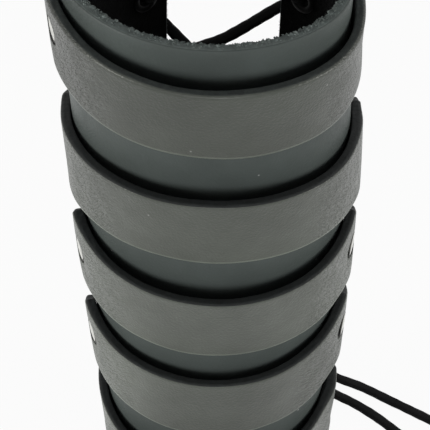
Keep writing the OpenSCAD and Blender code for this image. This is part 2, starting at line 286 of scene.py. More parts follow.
# ---------------------------------------------------------------- materials
class Graph:
    """A node tree, with short ways to add nodes and to join them."""

    def __init__(self, tree):
        self.tree = tree

    def add(self, kind, **settings):
        """A new node, with values for its inputs or for its own settings."""
        node = self.tree.nodes.new(kind)
        for key, value in settings.items():
            if key in node.inputs:
                node.inputs[key].default_value = value
            else:
                setattr(node, key, value)
        return node

    def feed(self, value, socket):
        """Links an output to a socket, or sets the socket where the value is plain."""
        if hasattr(value, "is_linked"):
            self.tree.links.new(value, socket)
        else:
            socket.default_value = value

    def fill(self, node, values):
        for name, value in values.items():
            self.feed(value, node.inputs[name])

    def mapped(self, vector, **settings):
        """Coordinates that are turned or stretched."""
        n = self.add("ShaderNodeMapping", **settings)
        self.feed(vector, n.inputs["Vector"])
        return n.outputs["Vector"]

    def place(self, scale=(1, 1, 1)):
        return self.mapped(self.add("ShaderNodeTexCoord").outputs["Object"], Scale=scale)

    def cloud(self, vector, scale, detail=3.0, rough=0.5, distortion=0.0):
        n = self.add("ShaderNodeTexNoise")
        values = {"Scale": scale, "Detail": detail, "Roughness": rough, "Distortion": distortion}
        self.fill(n, {"Vector": vector, **values})
        return n.outputs["Fac"]

    def cells(self, vector, scale):
        n = self.add("ShaderNodeTexVoronoi", Scale=scale)
        self.feed(vector, n.inputs["Vector"])
        return n.outputs

    def ramp(self, value, stops):
        n = self.add("ShaderNodeValToRGB")
        e = n.color_ramp.elements
        while len(e) < len(stops):
            e.new(0.5)
        for k, (pos, colour) in enumerate(stops):
            e[k].position = pos
            e[k].color = colour
        self.feed(value, n.inputs["Fac"])
        return n.outputs["Color"]

    def mix(self, factor, a, b, kind="MIX"):
        n = self.add("ShaderNodeMix", data_type="RGBA", blend_type=kind)
        for value, k in ((factor, 0), (a, 6), (b, 7)):
            self.feed(value, n.inputs[k])
        return n.outputs[2]

    def stretch(self, value, low, high, to_low=0.0, to_high=1.0):
        n = self.add("ShaderNodeMapRange")
        ends = {"From Min": low, "From Max": high, "To Min": to_low, "To Max": to_high}
        self.fill(n, {"Value": value, **ends})
        return n.outputs["Result"]

    def maths(self, kind, *values):
        n = self.add("ShaderNodeMath", operation=kind)
        for value, socket in zip(values, n.inputs):
            self.feed(value, socket)
        return n.outputs[0]

    def bumps(self, shader, layers):
        """Bump layers, each a height, its strength and its depth in metres."""
        last = None
        for height, strength, depth in layers:
            n = self.add("ShaderNodeBump", Strength=strength, Distance=depth)
            self.feed(height, n.inputs["Height"])
            if last is not None:
                self.feed(last, n.inputs["Normal"])
            last = n.outputs["Normal"]
        self.feed(last, shader.inputs["Normal"])

    def seen(self):
        """1 for the rays that show the background itself, also in metal and glass."""
        rays = self.add("ShaderNodeLightPath").outputs
        either = self.maths("MAXIMUM", rays["Is Camera Ray"], rays["Is Glossy Ray"])
        return self.maths("MAXIMUM", either, rays["Is Transmission Ray"])

    def blend(self, factor, a, b):
        n = self.add("ShaderNodeMixShader")
        for value, socket in zip((factor, a, b), n.inputs):
            self.feed(value, socket)
        return n.outputs["Shader"]


def material(name):
    m = bpy.data.materials.new(name)
    m.use_nodes = True
    return m, m.node_tree.nodes["Principled BSDF"], Graph(m.node_tree)


def grey(s, tint=(1, 1, 1)):
    """A colour from its grey level on screen, from 0 to 255."""
    c = ((s / 255 + 0.055) / 1.055) ** 2.4 if s > 10 else s / 255 / 12.92
    return (c * tint[0], c * tint[1], c * tint[2], 1)


# Half the width over the bands at the wrist edge
HALF_WIDTH_LOW = 0.0393


def grain_leather(name, dark, light, rough, level, creases, specks, pebble, painted_elbow_shade=1.0):
    """Dyed grain with its mottling, pores and dust, drawn into creases at the sides, with painted
    shade in the creases' valleys, and on the bands painted shade toward the elbow and painted light
    toward the wrist.
    """
    m, shader, g = material(name)
    v = g.place()
    patches = g.cloud(v, 22, 3, 0.55)
    mottle = g.cloud(v, 140, 4, 0.6)
    fine = g.cloud(v, 1250, 3, 0.6)
    pores = g.cells(v, 1000)
    colour = g.ramp(patches, [(0.36, dark), (0.66, light)])
    colour = g.mix(g.stretch(mottle, 0.35, 0.75, 0, 0.35), colour, dark)
    colour = g.mix(g.stretch(fine, 0.55, 0.8, 0, 0.35), colour, light)
    dust = g.cells(v, 300)
    dot = g.stretch(dust["Distance"], 0.13, 0.05)
    rare = g.stretch(dust["Color"], specks, specks + 0.01)
    colour = g.mix(g.maths("MULTIPLY", dot, rare), colour, grey(175))
    where = g.add("ShaderNodeSeparateXYZ")
    g.feed(v, where.inputs["Vector"])
    x, z = where.outputs["X"], where.outputs["Z"]
    if painted_elbow_shade < 1:
        # Painted shade and light: the bands are coloured darker toward the elbow, most at their
        # sides, which are coloured lighter toward the wrist. The two lowest bands are coloured
        # darker again, but for their left side
        left = g.stretch(x, -0.015, -0.034)
        right = g.stretch(x, 0.03, 0.047)
        low = g.stretch(z, 0.085, 0.11, 0.84, 1.0)
        for part, from_z, at_wrist, at_elbow in (
            (1.0, 0.12, 1.0, painted_elbow_shade), (left, 0.08, 1.28, 0.80), (right, 0.08, 1.22, 0.76),
        ):
            painted_shade = g.stretch(z, from_z, 0.215, at_wrist, at_elbow)
            colour = g.mix(part, colour, painted_shade, "MULTIPLY")
        colour = g.mix(g.maths("SUBTRACT", 1.0, left), colour, low, "MULTIPLY")
    # The share of the way out to the side, where the leather turns round the arm
    half_width = g.maths("ADD", g.maths("MULTIPLY", z, SLOPE), HALF_WIDTH_LOW)
    share = g.maths("DIVIDE", g.maths("ABSOLUTE", x), half_width)
    side = g.stretch(share, 0.60, 0.90)
    turned = g.mapped(v, Rotation=(math.radians(45), 0, 0))
    wrinkle = g.cloud(g.mapped(turned, Scale=(0.3, 0.16, 1.0)), 1500, 1, 0.5, 0.5)
    layers = [
        (g.stretch(patches, 0, 1), 0.25, 0.0012),
        (pores["Distance"], pebble * 0.6, 0.0003),
        (fine, pebble, 0.0003),
    ]
    if creases:
        sharp = g.maths("MULTIPLY", g.stretch(wrinkle, 0.38, 0.60), side)
        layers.append((sharp, creases, 0.0008))
        # Painted shade: the valleys of the creases at the sides are coloured darker
        painted_crease_shade = g.maths("SUBTRACT", side, sharp)
        colour = g.mix(g.stretch(painted_crease_shade, 0, 1, 0, 0.15 * creases), colour, grey(30))
    g.fill(shader, {
        "Base Color": colour, "Specular IOR Level": level,
        "Roughness": g.stretch(mottle, 0.3, 0.7, rough - 0.05, rough + 0.07),
    })
    g.bumps(shader, layers)
    return m


def cut_leather(name, dark, light, fuzz):
    """The bare fibres of a cut edge, in layers along it."""
    m, shader, g = material(name)
    fibre = g.cloud(g.place((0.5, 0.5, 3.5)), 900, 4, 0.65, 0.4)
    tuft = g.cloud(g.place(), 420, 3, 0.6)
    colour = g.ramp(fibre, [(0.38, dark), (0.68, light)])
    colour = g.mix(g.stretch(tuft, 0.5, 0.72, 0, fuzz), colour, light)
    g.fill(shader, {"Base Color": colour, "Roughness": 0.72, "Specular IOR Level": 0.3})
    g.bumps(shader, [(fibre, 0.5, 0.0004), (tuft, 0.35, 0.0006)])
    return m


def suede(name, dark, light, nap):
    """The flesh side's brushed nap."""
    m, shader, g = material(name)
    hair = g.cloud(g.place((1, 1, 0.45)), 1300, 4, 0.7)
    brushed = g.cloud(g.place(), 75, 4, 0.6, 0.6)
    colour = g.ramp(brushed, [(0.35, dark), (0.70, light)])
    colour = g.mix(g.stretch(hair, 0.62, 0.78, 0, 0.7), colour, nap)
    g.fill(shader, {
        "Base Color": colour, "Roughness": 0.95, "Specular IOR Level": 0.1,
        "Sheen Weight": 0.08, "Sheen Roughness": 0.6,
    })
    g.bumps(shader, [(hair, 0.7, 0.0005), (brushed, 0.3, 0.001)])
    return m


def plated_metal(name, bright, worn, rough):
    """Rubbed plating, cloudy and finely scratched."""
    m, shader, g = material(name)
    scratch = g.cloud(g.place((1, 6, 1)), 1400, 3, 0.6)
    cloudy = g.cloud(g.place(), 380, 3, 0.5)
    g.fill(shader, {
        "Base Color": g.ramp(cloudy, [(0.35, worn), (0.62, bright)]), "Metallic": 1.0,
        "Roughness": g.stretch(scratch, 0.3, 0.7, rough - 0.06, rough + 0.10),
    })
    g.bumps(shader, [(scratch, 0.12, 0.00008), (cloudy, 0.10, 0.0002)])
    return m


def lace_leather(name):
    m, shader, g = material(name)
    v = g.place()
    fibre = g.cloud(v, 900, 4, 0.6, 0.5)
    broad = g.cloud(v, 120, 2, 0.5)
    colour = g.ramp(fibre, [(0.35, grey(4)), (0.75, grey(16))])
    colour = g.mix(g.stretch(broad, 0.4, 0.7, 0, 0.5), colour, grey(6))
    g.fill(shader, {
        "Base Color": colour, "Specular IOR Level": 0.14,
        "Roughness": g.stretch(broad, 0.3, 0.7, 0.62, 0.74),
    })
    g.bumps(shader, [(fibre, 0.4, 0.00025)])
    return m


def black_enamel(name):
    """Black enamel, worn through to grey in small spots."""
    m, shader, g = material(name)
    v = g.place()
    worn = g.cloud(v, 520, 4, 0.65)
    skin = g.cloud(v, 2400, 2, 0.5)
    g.fill(shader, {
        "Base Color": g.ramp(worn, [(0.60, grey(14)), (0.74, grey(58))]),
        "Specular IOR Level": 0.3, "Roughness": g.stretch(worn, 0.4, 0.7, 0.5, 0.38),
    })
    g.bumps(shader, [(skin, 0.25, 0.0001)])
    return m


COOL, GREEN = (0.88, 1.04, 1.00), (0.94, 1.06, 0.89)
NO_DUST = 2.0
shell_grain = grain_leather(
    "shell_grain", grey(69, COOL), grey(81, COOL),
    rough=0.46, level=0.16, creases=0.2, specks=0.895, pebble=0.3,
)
# The bands' grain carries painted shade toward the elbow and painted light toward the wrist at its
# sides
band_grain = grain_leather(
    "band_grain", grey(70, GREEN), grey(82, GREEN),
    rough=0.35, level=0.36, creases=0.7, specks=0.905, pebble=0.45, painted_elbow_shade=0.72,
)
# Rubbed, lighter leather along the bands' lower edges, with a painted highlight where their
# rounding meets the light; it also takes the painted shade toward the elbow
rubbed_highlight_line = grain_leather(
    "rubbed_highlight_line", grey(96, GREEN), grey(116, GREEN),
    rough=0.35, level=0.5, creases=0.0, specks=NO_DUST, pebble=0.3, painted_elbow_shade=0.8,
)
band_edge = cut_leather("band_edge", grey(8, (0.7, 1.1, 1.1)), grey(26, (0.8, 1.05, 1.05)), 0.25)
# Dye, dirt and painted shade in the groove round each rivet cap
groove_dirt_and_shade = cut_leather("rivet_groove_dirt_and_shade", grey(12), grey(26), 0.1)
top_edge = cut_leather("top_band_edge", grey(44, COOL), grey(62, COOL), 0.25)
rim_edge = cut_leather("rim_edge", grey(100, COOL), grey(128, COOL), 0.4)
rim_nap = cut_leather("rim_nap", grey(92, COOL), grey(150, COOL), 0.6)
shell_suede = suede("shell_suede", grey(3), grey(9), grey(60))
band_flesh = suede("band_flesh", grey(8), grey(16), grey(30))
nickel = plated_metal("nickel", (0.74, 0.74, 0.69, 1), (0.50, 0.50, 0.46, 1), 0.24)
dull_nickel = plated_metal("dull_nickel", (0.50, 0.50, 0.48, 1), (0.25, 0.25, 0.24, 1), 0.36)
# The caps' outer rings: tarnish, and a painted dark reflection along the rim
tarnish_and_dark_reflection = plated_metal("tarnished_rim_and_dark_reflection", (0.07, 0.07, 0.06, 1), (0.03, 0.03, 0.03, 1), 0.45)
enamel = black_enamel("black_enamel")
lace_black = lace_leather("lace_black")


# ---------------------------------------------------------------- the lace
LACE_WIDTH, LACE_WALL = 3.4, 2.0
ROWS = [230 - 41 * k for k in range(6)]
LAST_ROW = len(ROWS) - 1
FLANGE, BORE, LIP, METAL, SEAT = 4.7, 2.5, 0.7, 0.4, 0.3
# From the back edge to the eyelets' middles; the lace's room at an eyelet and at an edge
INSET, CLEAR, EDGE_CLEAR = 9.5, 0.35, 0.8
LACE_OFF, EDGE_OFF = LACE_WALL / 2 + CLEAR, LACE_WALL / 2 + EDGE_CLEAR
LACE_BEND = BORE + LIP / 2
# How far the lace stands out of the last eyelets, where its loose ends start
LAST_OUT = 3.6
# The length of the mesh's steps along the loose ends and along the lacing
END_STEP, LACING_STEP = 1.6, 1.4


def unit(v):
    return v / np.linalg.norm(v)


def edge_turn(z):
    """The angle of the back opening's edge."""
    return math.pi - math.asin(HALF_GAP / shell_r(z))


def eyelet_turn(row):
    return edge_turn(ROWS[row]) - INSET / shell_r(ROWS[row])


def eyelet(row, side):
    t = side * eyelet_turn(row)
    return at(t, ROWS[row], 0.0), outward(t, ROWS[row])


def toward_gap(t, z, side):
    """The direction along the face toward the back opening."""
    return unit(at(t + side * 0.01, z, 0.0) - at(t, z, 0.0))


def gapward(row, side):
    return toward_gap(side * eyelet_turn(row), ROWS[row], side)


def flange_depth(row):
    """How deep an eyelet's flat flange lies, to clear the curve inside the shell."""
    r = shell_r(ROWS[row]) - WALL
    return WALL + r - math.sqrt(r * r - FLANGE**2) + SEAT + LIP


def rim_turn(row, side, away, level, side_out):
    """The lace's bend over an eyelet's rim, on its outer side (-1) or its inner one (1)."""
    p, n = eyelet(row, side)
    stops = []
    for a in (0, math.pi / 6, math.pi / 3):
        out = level + side_out * LACE_BEND * (1 - math.cos(a))
        place = p + n * out + away * LACE_BEND * (1 - math.sin(a))
        stops.append((place, n * side_out * math.cos(a) + away * math.sin(a)))
    return stops


# How far a strand runs below the eyelet where it leaves the edge, and above the one that it
# reaches, and how far it sags between. Only the second crossing is seen through the mouth
CROSSINGS = {(1, -1): (15.6, 6.5, 6.6), (1, 1): (8.4, 12.5, 3.4)}
PLAIN_CROSSING = (8.2, 8.2, 0.6)


def leaving(row, side):
    return CROSSINGS.get((row, side), PLAIN_CROSSING)


def arrival(row, side):
    drop = 0 if row == 0 else leaving(row - 1, -side)[1]
    return unit(gapward(row, side) + UP * drop / INSET)


def through_eyelet(row, side):
    p, n = eyelet(row, side)
    start = arrival(row, side)
    last = row == LAST_ROW
    end = start if last else unit(gapward(row, side) - UP * leaving(row, side)[0] / INSET)
    low, high = -flange_depth(row) - LACE_OFF, SEAT + LIP + LACE_OFF
    low_end, high_end = low + LACE_BEND, high - LACE_BEND
    stops = rim_turn(row, side, start, low, 1)
    stops += [
        (p + n * low_end, start),
        (p + n * (low_end + high_end) / 2, unit(start + end)),
        (p + n * high_end, end),
    ]
    if last:
        stops.append((p + n * LAST_OUT, start))
    else:
        stops += rim_turn(row, side, end, high, -1)[::-1]
    return stops


def crossing(row, side):
    drop, rise, sag = leaving(row, side)
    z_from, z_to = ROWS[row] - drop, ROWS[row + 1] + rise
    a = at(side * edge_turn(z_from), z_from, EDGE_OFF)
    b = at(-side * edge_turn(z_to), z_to, -WALL - EDGE_OFF)
    # The strands that are seen lie further apart and show more of their flat faces
    seen = (row, side) in CROSSINGS
    middle = (a + b) / 2 + np.array([0, side * (LACE_WALL / 2 + CLEAR + 0.9 * seen), -sag])
    tilt = UP * (-1.0 * seen)
    return [
        (a, unit(unit(a * [1, 1, 0]) + 0.8 * tilt)),
        (middle, unit(np.array([0, 1.0, 0]) + tilt)),
        (b, unit(unit(b * [1, 1, 0]) + 0.8 * tilt)),
    ]


def half_lace(first):
    """The stops of one half, from the top row on the side given down to the last row."""
    stops = []
    for row in range(len(ROWS)):
        side = first * (1 if row % 2 == 0 else -1)
        stops += through_eyelet(row, side)
        if row < LAST_ROW:
            stops += crossing(row, side)
    return stops


def heading(p, i):
    if i == 0:
        return unit(p[1] - p[0])
    if i == len(p) - 1:
        return unit(p[i] - p[i - 1])
    return unit(unit(p[i] - p[i - 1]) + unit(p[i + 1] - p[i]))


def smooth_run(stops, step):
    """A smooth line through the stops, and the way that the lace's face looks along it."""
    p, f = [np.array(s[0], float) for s in stops], [np.array(s[1], float) for s in stops]
    line, faces = [], []
    for i in range(len(p) - 1):
        d = np.linalg.norm(p[i + 1] - p[i])
        n = max(1, round(d / step))
        a, b = heading(p, i) * d, heading(p, i + 1) * d
        flip = -1 if f[i].dot(f[i + 1]) < 0 else 1
        for k in range(n):
            t = k / n
            line.append(
                p[i] * (2 * t**3 - 3 * t * t + 1) + a * (t**3 - 2 * t * t + t)
                + p[i + 1] * (3 * t * t - 2 * t**3) + b * (t**3 - t * t)
            )
            faces.append(f[i] * (1 - t) + f[i + 1] * t * flip)
    return np.array(line + [p[-1]]), np.array(faces + [f[-1]])


def lace_section():
    """Its outline, a little fuller than the plain lace, with rounded edges and crowned faces."""
    a, b = LACE_WIDTH / 2 + 0.25, LACE_WALL / 2 + 0.1
    quarter = [(a, 0), (a - 0.08, 0.42), (a - 0.36, 0.76), (a - 0.8, b - 0.06), (0.45, b - 0.02)]
    upper = quarter + [(-u, v) for u, v in quarter[::-1]]
    return upper + [(u, -v) for u, v in upper[-2:0:-1]]


def flat_lace(name, stops, step, shift):
    """A flat lace through its stops, and its middle line in metres."""
    line, looks = smooth_run(stops, step)
    section = lace_section()
    points, across = [], None
    for i, p in enumerate(line):
        ahead = heading(line, i)
        w = unit(np.cross(ahead, looks[i]))
        if across is not None and w.dot(across) < 0:
            w = -w
        across = w
        n = np.cross(ahead, w)
        fray = 1 + 0.03 * math.sin(i * 1.9) + 0.02 * math.sin(i * 0.71 + 2)
        points += [p + w * (u * fray) + n * v for u, v in section]
    m, last = len(section), len(line) - 1
    faces = []
    for i in range(last):
        for j in range(m):
            k = (j + 1) % m
            faces.append((i * m + j, i * m + k, (i + 1) * m + k, (i + 1) * m + j))
    points += [line[0], line[-1]]
    tip, tail = len(points) - 2, len(points) - 1
    for j in range(m):
        k = (j + 1) % m
        faces.append((tip, k, j))
        faces.append((tail, last * m + j, last * m + k))
    o = new_object(name, (np.array(points) + shift) * 0.001, faces, [lace_black])
    return welded(o), (line + shift) * 0.001


def loose_face(p):
    """A loose end's face looks up where it lies, and half outward where it comes down."""
    return unit(unit(np.array([p[0], p[1] - AXIS_Y, 0])) + UP) if p[2] > 2 * LACE_WIDTH else UP


# The routes of the two loose ends in the model's own frame, as in the part's source
LEFT_ROUTE = [
    (-36.5, 41, 22), (-38, 43, 17), (-38, 45, 12), (-36.5, 47, 7.5), (-34, 49, 4.5),
    (-30.5, 51, 2.5), (-26, 53, 1.6), (-17, 55.5, 1.3), (-5, 57, 1.3), (8, 56.5, 1.3),
    (21, 54.5, 1.3), (31, 50.5, 1.3), (40, 45, 1.3), (47, 40, 1.3), (57, 35, 1.3),
    (68, 28, 1.3), (82, 19, 1.3), (94, 11, 1.3), (106, 1, 1.3), (113, -12, 1.3),
    (113, -26, 1.3), (105, -38, 1.3), (92, -44, 1.3),
]
RIGHT_ROUTE = [
    (36.5, 41, 22), (37.6, 41.4, 17), (38.2, 40.6, 12), (38.7, 38.9, 7.3), (39.8, 36.5, 4),
    (41.8, 34.4, 2.2), (44.4, 32.6, 1.5), (47.5, 30.7, 1.3), (54, 26.5, 1.3), (62, 20, 1.3),
    (70, 12, 1.3), (79, 3, 1.3), (88, -6, 1.3), (94, -17, 1.3), (94, -29, 1.3),
    (86, -38, 1.3), (75, -39, 1.3),
]
for name, side, route in (("lace_end_left", -1, LEFT_ROUTE), ("lace_end_right", 1, RIGHT_ROUTE)):
    p, n = eyelet(LAST_ROW, side)
    start = p + n * LAST_OUT + SHIFT
    stops = [(start, arrival(LAST_ROW, side)), (start + n * 2 * LACE_WIDTH, UP)]
    stops += [(q, loose_face(q)) for q in np.array(route, float)]
    piece, line = flat_lace("loose_" + name, stops, END_STEP, np.zeros(3))
    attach(piece, "shell")
    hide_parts(name)

lacing, _ = flat_lace("laced_back", half_lace(-1)[::-1] + half_lace(1), LACING_STEP, SHIFT)
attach(lacing, "shell")
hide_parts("lacing")


# ---------------------------------------------------------------- the shell
BEVEL = 0.8
SHELL_COLS, SHELL_ROWS = 321, 101
# The holes for the eyelets: their radius, how far in the drill starts, its length and its sides
HOLE, HOLE_IN, HOLE_LENGTH, HOLE_SIDES = BORE + METAL + 0.06, 8, 16, 40


def shell_surface(u, z, oc, oz, depth):
    """From -1 to 1 round the shell and from 0 to 1 up it, oc and oz past that, and a depth."""
    zz = BEVEL + z * (HEIGHT - 2 * BEVEL) + oz
    r = shell_r(zz)
    reach = math.pi - np.arcsin(HALF_GAP / r) - BEVEL / r
    t = u * reach + oc / r
    p = at(t, zz, -depth)
    soft = 0.08 * ripple(p[..., 0], p[..., 1], zz, 13.0) * ease(depth, WALL, 0)
    return at(t, zz, -depth + soft)


def shell_wear(u, z, dr, depth):
    """The rim is cut by hand, and its flesh side frays."""
    a = u * 160
    jag = np.sin(a * 3.1) * np.sin(a * 1.27 + 1) + 0.6 * np.sin(a * 4.7 + 2) * np.sin(a * 2.3)
    return np.where(dr > 0, 1.0, 0.25) * 0.09 * jag * np.clip(depth / WALL - 0.3, 0, 1)


shell = leather_sheet(
    "shell_leather", np.linspace(-1, 1, SHELL_COLS), np.linspace(0, 1, SHELL_ROWS),
    shell_surface, BEVEL, [shell_grain, rim_edge, shell_suede], worn=shell_wear, burnished=4,
)
holes = []
for row in range(len(ROWS)):
    for side in (-1, 1):
        p, n = eyelet(row, side)
        holes.append(frame_at(p - n * HOLE_IN, n))
drill = [(0, 0), (HOLE, 0), (HOLE, HOLE_LENGTH), (0, HOLE_LENGTH)]
points, faces = turned_piece(drill, holes, HOLE_SIDES)
cutter = welded(new_object("cutter", in_metres(points), faces, [rim_edge]), 1e-6)
cut = shell.modifiers.new("holes", "BOOLEAN")
cut.operation, cut.solver, cut.object = "DIFFERENCE", "EXACT", cutter
bpy.context.view_layer.update()
done = bpy.data.meshes.new_from_object(shell.evaluated_get(bpy.context.evaluated_depsgraph_get()))
shell.modifiers.clear()
shell.data = done
bpy.data.objects.remove(cutter)
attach(shell, "shell")
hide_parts("base_shell")

# The nap of the cut edges: loose fibres along the rim's inner edge and the edges of the back
# opening, tufts over the rim's cut face, and a lumpy roll of fibres along its inner edge
RIM_FIBRES, EDGE_FIBRES, TUFTS, ROLL_STEPS, ROLL_SIDES = 1500, 700, 4200, 1150, 8
RIM_TURN = math.pi - math.asin(HALF_GAP / RIM)
rng = np.random.default_rng(7)
points, faces = [], []


def fibre(root, out, length, width):
    """A bent three-sided spike."""
    along = unit(np.cross(out, rng.normal(size=3)))
    bend = out + 0.9 * rng.normal(size=3)
    k = len(points)
    tip = root + out * length * 0.6 + unit(bend) * length * 0.4
    for q, w in ((root - out * 0.25, width), (root + out * length * 0.5, width * 0.8)):
        side = np.cross(out, along)
        points.append(q + along * w)
        points.append(q - along * w * 0.5 + side * w * 0.87)
        points.append(q - along * w * 0.5 - side * w * 0.87)
    points.append(tip)
    for j in range(3):
        i = (j + 1) % 3
        faces.extend([(k + j, k + i, k + 3 + i, k + 3 + j), (k + 3 + j, k + 3 + i, k + 6)])
    faces.append((k + 2, k + 1, k))


for _ in range(RIM_FIBRES):
    t = rng.uniform(-RIM_TURN, RIM_TURN)
    depth = WALL - abs(rng.normal()) * 0.55
    n = outward(t, HEIGHT)
    root = at(t, HEIGHT - 0.35, -max(depth, 1.2))
    fibre(root, unit(UP + 0.5 * rng.normal(size=3) - 0.5 * n), rng.uniform(0.3, 0.8), 0.08)
for _ in range(EDGE_FIBRES):
    z = rng.uniform(2, HEIGHT - 1)
    side = rng.choice([-1, 1])
    t = side * edge_turn(z)
    away, n = toward_gap(t, z, side), outward(t, z)
    root = at(t, z, -WALL + abs(rng.normal()) * 0.3)
    fibre(root, unit(away + 0.6 * rng.normal(size=3) - 0.3 * n), rng.uniform(0.2, 0.5), 0.06)
corners = np.array([[1, 0, 0], [0, 1, 0], [-1, 0, 0], [0, -1, 0], [0, 0, 1], [0, 0, -1]], float)
for tuft in range(TUFTS):
    t = rng.uniform(-RIM_TURN + 0.01, RIM_TURN - 0.01)
    clump = math.sin(t * 83) * math.sin(t * 37 + 1) + math.sin(t * 151 + 2) * 0.6
    size = max(0.14, 0.27 + 0.10 * clump + 0.06 * rng.normal())
    depth = min(WALL + 0.25, WALL - 0.35 + 0.45 * rng.normal())
    if tuft % 2:
        size, depth = size * 0.7, WALL - 2.1 * rng.uniform() ** 1.3
    k, middle = len(points), at(t, HEIGHT - 0.04 - 0.14 * (depth > 2.2) * (1 - clump), -depth)
    for c in corners:
        points.append(middle + size * (c + 0.35 * rng.normal(size=3)))
    for j in range(4):
        i = (j + 1) % 4
        faces.extend([(k + j, k + i, k + 4), (k + i, k + j, k + 5)])
start = len(points)
around = np.linspace(-RIM_TURN, RIM_TURN, ROLL_STEPS)
lumps = rng.normal(size=(ROLL_STEPS, 2))
lumps[:, 0] = 1.6 * np.convolve(lumps[:, 0], [0.15, 0.25, 0.3, 0.25, 0.15], "same")
for t, (thick, off) in zip(around, lumps):
    size = max(0.2, 0.46 + 0.2 * thick)
    n, middle = outward(t, HEIGHT), at(t, HEIGHT - 0.45, -WALL + 0.6 + 0.12 * off)
    for a in np.arange(ROLL_SIDES) * math.pi / 4:
        rough = size * (1 + 0.2 * rng.normal())
        points.append(middle + n * math.cos(a) * rough * 1.15 + UP * math.sin(a) * rough)
for k in range(ROLL_STEPS - 1):
    q = start + ROLL_SIDES * k
    for j in range(ROLL_SIDES):
        i = (j + 1) % ROLL_SIDES
        faces.append((q + j, q + i, q + ROLL_SIDES + i, q + ROLL_SIDES + j))
faces.append(tuple(start + j for j in reversed(range(ROLL_SIDES))))
faces.append(tuple(start + ROLL_SIDES * (ROLL_STEPS - 1) + j for j in range(ROLL_SIDES)))
fuzz = new_object("rim_fibres", in_metres(points), faces, [rim_nap])
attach(fuzz, "shell")


# ---------------------------------------------------------------- the bands
# The lists below have one entry for each band, from the elbow down
BAND_HEIGHT, BAND_GAP, BAND_BEVEL = 32.5, 0.35, 1.3
# A band lies closer at its sides; behind its rivets it leaves room to tip
SNUG, BACK_GAP = [0.34, 0.15, 0.27, 0.12, 0.17], [0, 0.55, 0, 0, 0.15]
# The lower edge at the front, its rise toward the sides, how far the upper edge stands out at
# the front, and how much of its height the upper edge is short of
LOWS = [198.3, 150.7, 103.8, 59.8, 11.6]
RISES = [3.5, -7.3, 1.0, 3.0, 2.0]
FLARES = [5.4, 5.1, 5.2, 3.7, 4.9]
SHORTER = [0.9, 0.5, 0, 0, 0]
# How far each band's ends stand off, left and right, each at its upper and lower edge
STAND_OFF = [
    ((0.15, 0.35), (0, 0)), ((0.1, 0.5), (0.6, 0.9)), ((0.7, 0.15), (0.5, 1.2)),
    ((0.4, 0.15), (0.6, 1.2)), ((0, 0), (1.5, 1.7)),
]
# How far a band leans, as a slope over the shell's half width
LEANS, HALF_WIDTH = [-0.027, -0.024, -0.0255, -0.0086, 0.0], 45
# The angles of the rivets from the front, and their heights, which follow the CAD's
ENDS = [(-75, 76), (-94.5, 94.5), (-75.5, 79.5), (-75, 80.5), (-91, 92)]
RIVET_SHIFTS = [-0.7, 0, -0.8, 0.4, 0]
RIVET_Z = [
    sum(corner.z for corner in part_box(f"rivet_caps_{i + 1}")) * 500 + shift
    for i, shift in enumerate(RIVET_SHIFTS)
]
END_RUN = 9.1
# Half the height that is left at each end, once its corners are cut
END_HALF = [(5.5, 5.5), (12, 10), (5.5, 7.5), (5.5, 9.5), (6, 8)]
# A cap's radius, the groove round it, and the depths of its seat and of the dish before it
CAP, GROOVE_WIDTH, SEAT_DEPTH, DISH_DEPTH = 4.6, 0.6, 0.9, 0.5


def lift(i, t, share):
    """How far a band stands off near its ends, at a share of its height."""
    (left_top, left_low), (right_top, right_low) = STAND_OFF[i]
    tuck = 1 - ease(t, 1.45, 1.7) * (i == 1)
    return (
        ease(t, 1.1, 1.45) * (right_low + (right_top - right_low) * share) * tuck
        + ease(-t, 0.95, 1.3) * (left_low + (left_top - left_low) * share)
    )


def rivet_seat(i, turn):
    """How far off the shell a band's grain side is at a rivet."""
    return BAND_GAP - SNUG[i] + WALL + lift(i, turn, 0.5)


def steps_over(a, b, step):
    return np.linspace(a, b, max(2, int(abs(b - a) / step) + 1))


